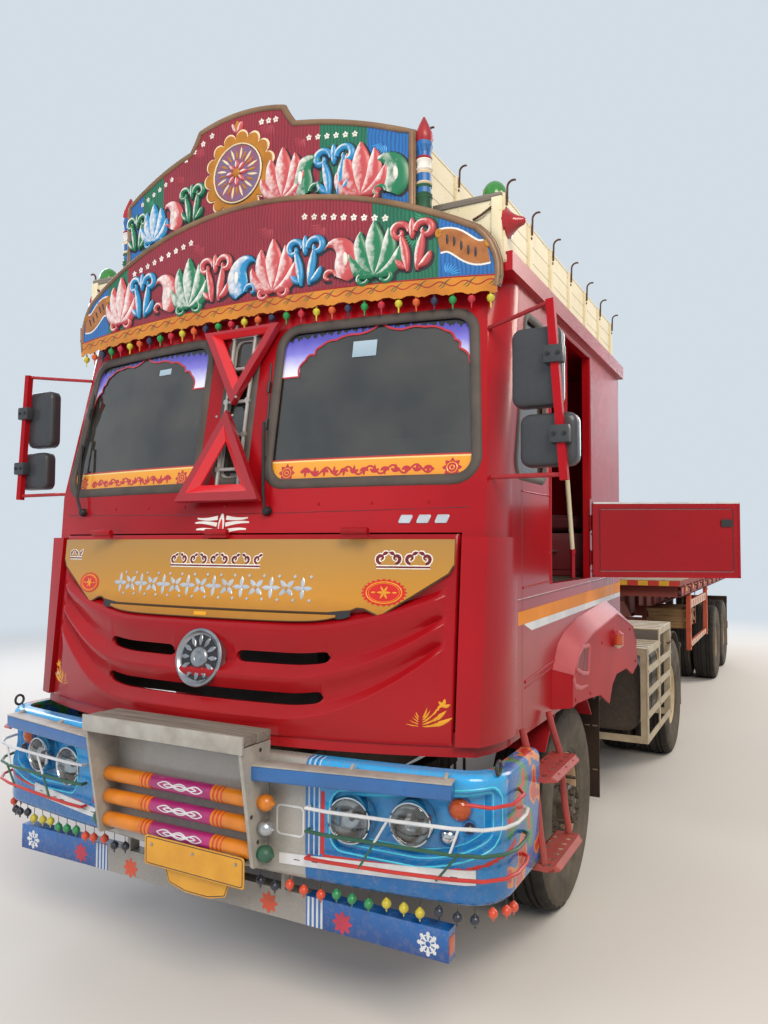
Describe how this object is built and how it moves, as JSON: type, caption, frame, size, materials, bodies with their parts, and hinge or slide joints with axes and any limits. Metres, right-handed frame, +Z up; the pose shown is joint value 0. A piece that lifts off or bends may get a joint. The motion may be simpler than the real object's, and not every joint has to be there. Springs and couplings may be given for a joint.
{
  "type": "decorated articulated lorry",
  "caption": "Decorated articulated lorry: two-axle tractor unit with a coachbuilt cab, painted head boards and steering wheels, coupled to a tandem flatbed semi-trailer.",
  "frame": {"origin": "middle of the whole lorry's footprint on the ground, with the left door open", "axes": "+Z up, +Y to the rear, +X to the lorry's left side; azimuth 0 looks at the front"},
  "size_m": [3.5213, 12.645, 3.935],
  "materials": {
    "chassis_paint": "satin",
    "engine_iron": "matt",
    "cab_paint": "gloss",
    "cream_paint": "satin",
    "board_paint": "gloss",
    "bumper_paint": "gloss",
    "lamp_glass": "clear",
    "window_glass": "clear",
    "orange_paint": "gloss",
    "silver_paint": "satin",
    "tyre_rubber": "matt",
    "rim_paint": "satin",
    "mirror_plastic": "matt",
    "seat_cover": "satin",
    "dash_plastic": "matt",
    "trailer_paint": "satin",
    "mudflap_rubber": "matt",
    "deck_boards": "worn"
  },
  "bodies": {
    "tractor": {"back_guard": "chassis_paint", "bumper_rack": "orange_paint", "cab_floor": "cab_paint", "cab_front": "cab_paint", "cab_glass": "window_glass", "cab_rear_wall": "cab_paint", "cab_roof": "cab_paint", "cab_seats": "seat_cover", "cab_side_left": "cab_paint", "cab_side_right": "cab_paint", "chassis_frame": "chassis_paint", "dashboard": "dash_plastic", "drive_axle": "chassis_paint", "engine_and_radiator": "engine_iron", "fenders": "cab_paint", "fifth_wheel": "chassis_paint", "front_axle_beam": "chassis_paint", "front_bumper": "bumper_paint", "front_mudflaps": "mudflap_rubber", "fuel_tank": "chassis_paint", "lamps": "lamp_glass", "lower_head_board": "board_paint", "mirrors": "mirror_plastic", "rear_mudguards": "chassis_paint", "right_side_tanks": "chassis_paint", "roof_boxes": "cream_paint", "side_cages": "silver_paint", "side_steps": "orange_paint", "tractor_springs": "chassis_paint", "underrun_beam": "bumper_paint", "upper_head_board": "board_paint", "windscreen_ornaments": "orange_paint"},
    "front_hatch": {"front_hatch": "cab_paint"},
    "left_door": {"left_door": "cab_paint"},
    "right_door": {"right_door": "cab_paint"},
    "knuckle_left": {"knuckle_left": "chassis_paint"},
    "knuckle_right": {"knuckle_right": "chassis_paint"},
    "tie_rod": {"tie_rod": "chassis_paint"},
    "front_wheel_left": {"front_tyre_left": "tyre_rubber", "front_rim_left": "rim_paint"},
    "drive_wheels_left": {"drive_tyres_left": "tyre_rubber", "drive_rims_left": "rim_paint"},
    "trailer_front_wheels_left": {"trailer_front_tyres_left": "tyre_rubber", "trailer_front_rims_left": "rim_paint"},
    "trailer_rear_wheels_left": {"trailer_rear_tyres_left": "tyre_rubber", "trailer_rear_rims_left": "rim_paint"},
    "front_wheel_right": {"front_tyre_right": "tyre_rubber", "front_rim_right": "rim_paint"},
    "drive_wheels_right": {"drive_tyres_right": "tyre_rubber", "drive_rims_right": "rim_paint"},
    "trailer_front_wheels_right": {"trailer_front_tyres_right": "tyre_rubber", "trailer_front_rims_right": "rim_paint"},
    "trailer_rear_wheels_right": {"trailer_rear_tyres_right": "tyre_rubber", "trailer_rear_rims_right": "rim_paint"},
    "trailer": {"trailer_deck": "deck_boards", "trailer_frame": "trailer_paint", "trailer_mudflaps": "mudflap_rubber", "trailer_running_gear": "chassis_paint", "side_guards": "orange_paint", "landing_legs": "chassis_paint"}
  },
  "joints": [
    {"name": "hatch_lift", "type": "hinge", "parent": "tractor", "child": "front_hatch", "pos_m": [-0.218, -5.974, 1.934], "axis": [-1, 0, 0], "range_deg": [0, 75]},
    {"name": "left_door_hinge", "type": "hinge", "parent": "tractor", "child": "left_door", "pos_m": [1.004, -4.198, 1.9], "axis": [0, 0, 1], "range_deg": [-112, 0]},
    {"name": "right_door_hinge", "type": "hinge", "parent": "tractor", "child": "right_door", "pos_m": [-1.44, -4.198, 1.9], "axis": [0, 0, -1], "range_deg": [0, 112]},
    {"name": "steer_left", "type": "hinge", "parent": "tractor", "child": "knuckle_left", "pos_m": [0.712, -4.506, 0.52], "axis": [0, 0, 1], "range_deg": [-38, 38]},
    {"name": "steer_right", "type": "hinge", "parent": "tractor", "child": "knuckle_right", "pos_m": [-1.148, -4.506, 0.52], "axis": [0, 0, 1], "range_deg": [-38, 38]},
    {"name": "tie_rod_pivot", "type": "hinge", "parent": "knuckle_left", "child": "tie_rod", "pos_m": [0.602, -4.276, 0.366], "axis": [0, 0, 1], "range_deg": [-42.6, 42.6]},
    {"name": "trailer_pivot", "type": "hinge", "parent": "tractor", "child": "trailer", "pos_m": [-0.218, -1.39, 1.27], "axis": [0, 0, 1], "range_deg": [-90, 90]},
    {"name": "front_wheel_left_spin", "type": "hinge", "parent": "knuckle_left", "child": "front_wheel_left", "pos_m": [0.812, -4.506, 0.52], "axis": [1, 0, 0], "continuous": true},
    {"name": "drive_wheels_left_spin", "type": "hinge", "parent": "tractor", "child": "drive_wheels_left", "pos_m": [0.718, -1.006, 0.52], "axis": [1, 0, 0], "continuous": true},
    {"name": "trailer_front_wheels_left_spin", "type": "hinge", "parent": "trailer", "child": "trailer_front_wheels_left", "pos_m": [0.718, 3.61, 0.52], "axis": [1, 0, 0], "continuous": true},
    {"name": "trailer_rear_wheels_left_spin", "type": "hinge", "parent": "trailer", "child": "trailer_rear_wheels_left", "pos_m": [0.718, 4.97, 0.52], "axis": [1, 0, 0], "continuous": true},
    {"name": "front_wheel_right_spin", "type": "hinge", "parent": "knuckle_right", "child": "front_wheel_right", "pos_m": [-1.248, -4.506, 0.52], "axis": [1, 0, 0], "continuous": true},
    {"name": "drive_wheels_right_spin", "type": "hinge", "parent": "tractor", "child": "drive_wheels_right", "pos_m": [-1.154, -1.006, 0.52], "axis": [1, 0, 0], "continuous": true},
    {"name": "trailer_front_wheels_right_spin", "type": "hinge", "parent": "trailer", "child": "trailer_front_wheels_right", "pos_m": [-1.154, 3.61, 0.52], "axis": [1, 0, 0], "continuous": true},
    {"name": "trailer_rear_wheels_right_spin", "type": "hinge", "parent": "trailer", "child": "trailer_rear_wheels_right", "pos_m": [-1.154, 4.97, 0.52], "axis": [1, 0, 0], "continuous": true}
  ],
  "couplings": [
    {"joint": "steer_right", "follows": "steer_left", "ratio": 1},
    {"joint": "tie_rod_pivot", "follows": "steer_left", "ratio": -1.121}
  ]
}
